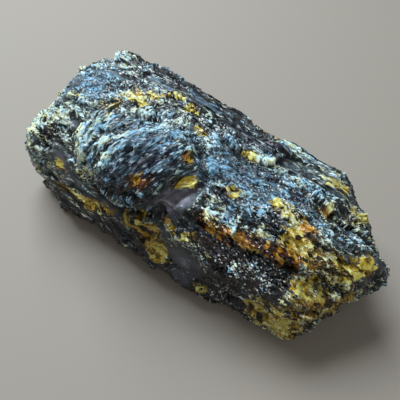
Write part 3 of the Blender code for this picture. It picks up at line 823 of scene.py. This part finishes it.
# dark carries the amber's own black and also painted shade in creases, along the lower front edge and under
# the lump
gold, ember, crust, blue, slate, dark = (recipe.stored(finish) for finish in OVALS)
striped, proud, edge = (recipe.stored(name) for name in ("striped", "proud", "edge"))
(plate_a, plate_b, plate_c), plate_colour = recipe.flakes(place, PLATE)
(shard_a, shard_b, shard_c), shard_colour = recipe.flakes(place, SHARD)
(splinter_a, splinter_b, splinter_c), splinter_colour = recipe.flakes(place, SPLINTER)
(chip_a, chip_b, chip_c), chip_colour = recipe.flakes(place, CHIP)
(glint_cell, *_), _ = recipe.flakes(straight, GLINT_SIZE)
rims = recipe.rims(place, SHARD, SHARD_RIM) * 0.5 + recipe.rims(place, PLATE, PLATE_RIM) * 0.6
blotch = recipe.noise(straight, *BLOTCH) - 0.5
crumb = recipe.noise(place, *CRUMB) - 0.5

# which look the ground has: each sum is what is painted there, plus what each flake adds to it
ragged = splinter_b.swing(0.3) + shard_b.swing(0.3) + blotch * 0.5 + crumb * 0.4
golden = (gold + ragged).above(*STARTS["golden"])
# bluish ground: partly the amber's own blue, partly painted sky reflection
bluish_sheen = (blue + blotch * 1.4 + splinter_c.swing(0.5) + plate_b.swing(0.4)).above(*STARTS["bluish_sheen"])
slaty = (slate + splinter_a.swing(0.2) + blotch * 0.5).above(*STARTS["slaty"])

# the ground, with its film of crust, and the gold in it
ground = recipe.mix(bluish_sheen, recipe.ramp(plate_a * 0.3 + splinter_a * 0.7, *DARK),
                    recipe.ramp(shard_b * 0.2 + splinter_b * 0.4 + chip_b * 0.4, *NAVY_AND_SHEEN))
ground = recipe.mix(slaty, ground, recipe.ramp(slate * 0.5 + shard_b * 0.25 + chip_a * 0.15 - 0.45, *SLATE_AND_SHEEN))
film = (0.32 + crust * 0.4 - dark * 0.8).clamped()
ground = recipe.mix(film, ground, THIN_CRUST)
tone = (plate_b * 0.3 + shard_c * 0.4 + splinter_c * 0.2 + chip_b * 0.1).swing(3.0) + 0.48
tone = tone + gold * 0.14 + crust * 0.08 - dark * 0.2 - ember * 0.1
reddened = (ember + plate_a.swing(0.7) + shard_a.swing(0.5)).clamped()
glow = recipe.mix(reddened, recipe.ramp(tone, *GOLD), recipe.ramp(tone, *EMBER))
ground = recipe.mix(golden, ground, glow)

# the pale matter, the painted glints of light grains, and the painted shade in the hollows
share = (plate_c.swing(0.55) + shard_c.swing(0.65) + splinter_c.swing(0.6) + chip_c.swing(0.9)
         + crumb * 1.2 + blotch * 1.4 + rims * 0.3 + proud * 0.06 + edge * 0.15)
cover = crust * 0.6 + blue * 0.12 - slate * 0.5 - dark * 0.45 - golden * 0.35
pale = (share + cover).above(*STARTS["pale"])
# painted glints: sparse near-white grains that stand in for light glinting off tiny facets
painted_glints = (glint_cell + blotch * 0.5 - dark * 0.03).above(*STARTS["painted_glints"])
painted_glints = painted_glints * (1 - slaty * 0.6) * (0.85 - golden * 0.5)
# where blue is painted the pale matter turns blue-white, partly painted sky glints
warmth = (chip_a.swing(0.3) + splinter_a.swing(0.3) + shard_a.swing(0.3) + plate_a.swing(0.25)
          + crust * 0.12 - blue * 0.45 + gold * 0.25)
colour = recipe.mix(pale, ground, recipe.ramp(warmth + 0.34, *PALE))
colour = recipe.mix(painted_glints, colour, PAINTED_GLINT_COLOUR)
# painted shade: points that lie in a hollow are darkened towards near-black
colour = recipe.mix((edge * -1).above(*STARTS["hollow"]) * PAINTED_HOLLOW_SHADE, colour, PAINTED_HOLLOW_SHADE_COLOUR)

# a normal for each flake, which leans less on the slate
normal = recipe.add("ShaderNodeNewGeometry", take="Normal")
for cells, lean in ((plate_colour, LEAN["plate"]), (shard_colour, LEAN["shard"]),
                    (splinter_colour, LEAN["splinter"]), (chip_colour, LEAN["chip"])):
    normal = recipe.shaken(normal, cells, (1 - slaty * 0.8) * (2 * lean))
normal = recipe.add("ShaderNodeVectorMath", {"operation": "NORMALIZE"}, {0: normal})
bump = recipe.add("ShaderNodeBump", {},
                  {"Strength": 0.5, "Distance": 0.0005, "Height": pale + crumb * 0.5, "Normal": normal})

# the opaque face, the clear one, and the body behind them
rough = 0.10 + chip_b * 0.2 + pale * 0.3 + slaty * 0.25 + striped * 0.2
opaque = recipe.add("ShaderNodeBsdfPrincipled", {},
                    {"Base Color": colour, "Roughness": rough, "IOR": IOR, "Normal": bump})
clear = recipe.add("ShaderNodeBsdfPrincipled", {},
                   {"Base Color": (1, 1, 1, 1), "Roughness": 0.1, "IOR": IOR, "Transmission Weight": 1.0,
                    "Normal": bump})
clean = (1 - pale) * (1 - slaty) * (1 - bluish_sheen * 0.7) * (1 - painted_glints)
clear_shards = shard_c.above(*STARTS["clear"]) * CLEARNESS["shard"]
see_through = clean * (golden * CLEARNESS["gold"] + clear_shards * (1 - golden))
skin_shader = recipe.add("ShaderNodeMixShader", {}, {0: see_through, 1: opaque, 2: clear})
inside = recipe.add("ShaderNodeVolumeAbsorption", {},
                    {"Color": (*SWALLOWED["colour"], 1), "Density": SWALLOWED["per_metre"]})
recipe.add("ShaderNodeOutputMaterial", {}, {"Surface": skin_shader, "Volume": inside})
amber.data.materials.append(recipe.material)
print("nodes:", len(recipe.tree.nodes))

# %% [markdown]
# ## Daylight from behind
#
# The camera looks down on the front and the low end. Cool daylight comes from behind, high up, and rakes
# over the chips, and a weaker, warmer lamp fills in from the front. The floor is plain and pale.

# %% Camera, light and floor
SENSOR, LENS, NEAREST = 36.0, 38.7, 0.01
CAMERA_TURN, CAMERA_PITCH = 33.0, 48.0
CAMERA_FROM_BLOCK = np.array([66.0, -93.9, 132.3])
LIGHTS = {  # towards the lamp, distance and size in metres, colour, watts
    "window": ((-0.50, 0.24, 0.83), 0.9, 0.6, (0.84, 0.93, 1.0), 13.5),
    "room": ((0.35, -0.50, 0.80), 1.2, 1.0, (1.0, 0.95, 0.88), 3.0),
}
SKY_COLOUR, SKY_STRENGTH = (0.86, 0.92, 1.0), 0.15
FLOOR_HALF, FLOOR_COLOUR, FLOOR_ROUGHNESS = 3.0, (0.275, 0.243, 0.205), 0.7


def look(turn, pitch):
    """Right, up and back of a camera turned about the upright and pitched down, as matrix columns."""
    turn, pitch = math.radians(turn), math.radians(pitch)
    right = np.array([math.cos(turn), math.sin(turn), 0])
    level = np.array([-math.sin(turn), math.cos(turn), 0])
    forward = math.cos(pitch) * level - math.sin(pitch) * np.array([0, 0, 1.0])
    return np.stack([right, np.cross(right, forward), -forward], axis=1)


def placed(thing, axes, place):
    """Puts a camera or a lamp in the scene with its axes and its place."""
    matrix = np.eye(4)
    matrix[:3, :3], matrix[:3, 3] = axes, place
    thing.matrix_world = Matrix(matrix)
    bpy.context.scene.collection.objects.link(thing)


camera = bpy.data.objects.new("camera", bpy.data.cameras.new("camera"))
camera.data.sensor_width, camera.data.lens = SENSOR, LENS
camera.data.clip_start = NEAREST
placed(camera, look(CAMERA_TURN, CAMERA_PITCH), (CAMERA_FROM_BLOCK - (*shift, 0)) * MM)
bpy.context.scene.view_settings.view_transform = "Standard"
bpy.context.scene.camera = camera


def softbox(name, toward, distance, size, colour, power):
    """A square lamp on the line from the lump towards a direction, turned to face the lump."""
    light = bpy.data.lights.new(name, "AREA")
    light.shape, light.size, light.energy, light.color = "SQUARE", size, power, colour
    toward = np.array(toward, float)
    toward /= np.linalg.norm(toward)
    side = np.cross((0, 0, 1), toward)
    side /= np.linalg.norm(side)
    placed(bpy.data.objects.new(name, light), np.stack([side, np.cross(toward, side), toward], axis=1),
           toward * distance)


for name, lamp in LIGHTS.items():
    softbox(name, *lamp)

world = bpy.data.worlds.new("studio")
world.use_nodes = True
sky = world.node_tree.nodes["Background"].inputs
sky["Color"].default_value, sky["Strength"].default_value = (*SKY_COLOUR, 1), SKY_STRENGTH
bpy.context.scene.world = world

floor_corners = FLOOR_HALF * np.array([(-1, -1, 0), (1, -1, 0), (1, 1, 0), (-1, 1, 0)])
floor = mesh_object("floor", floor_corners, np.array([[0, 1, 2, 3]]))
floor_paint = bpy.data.materials.new("pale_floor")
floor_paint.use_nodes = True
paint = floor_paint.node_tree.nodes["Principled BSDF"].inputs
paint["Base Color"].default_value, paint["Roughness"].default_value = (*FLOOR_COLOUR, 1), FLOOR_ROUGHNESS
floor.data.materials.append(floor_paint)

# %% Tie the skin to the frame
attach(amber, "root")
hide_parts("raw_amber")
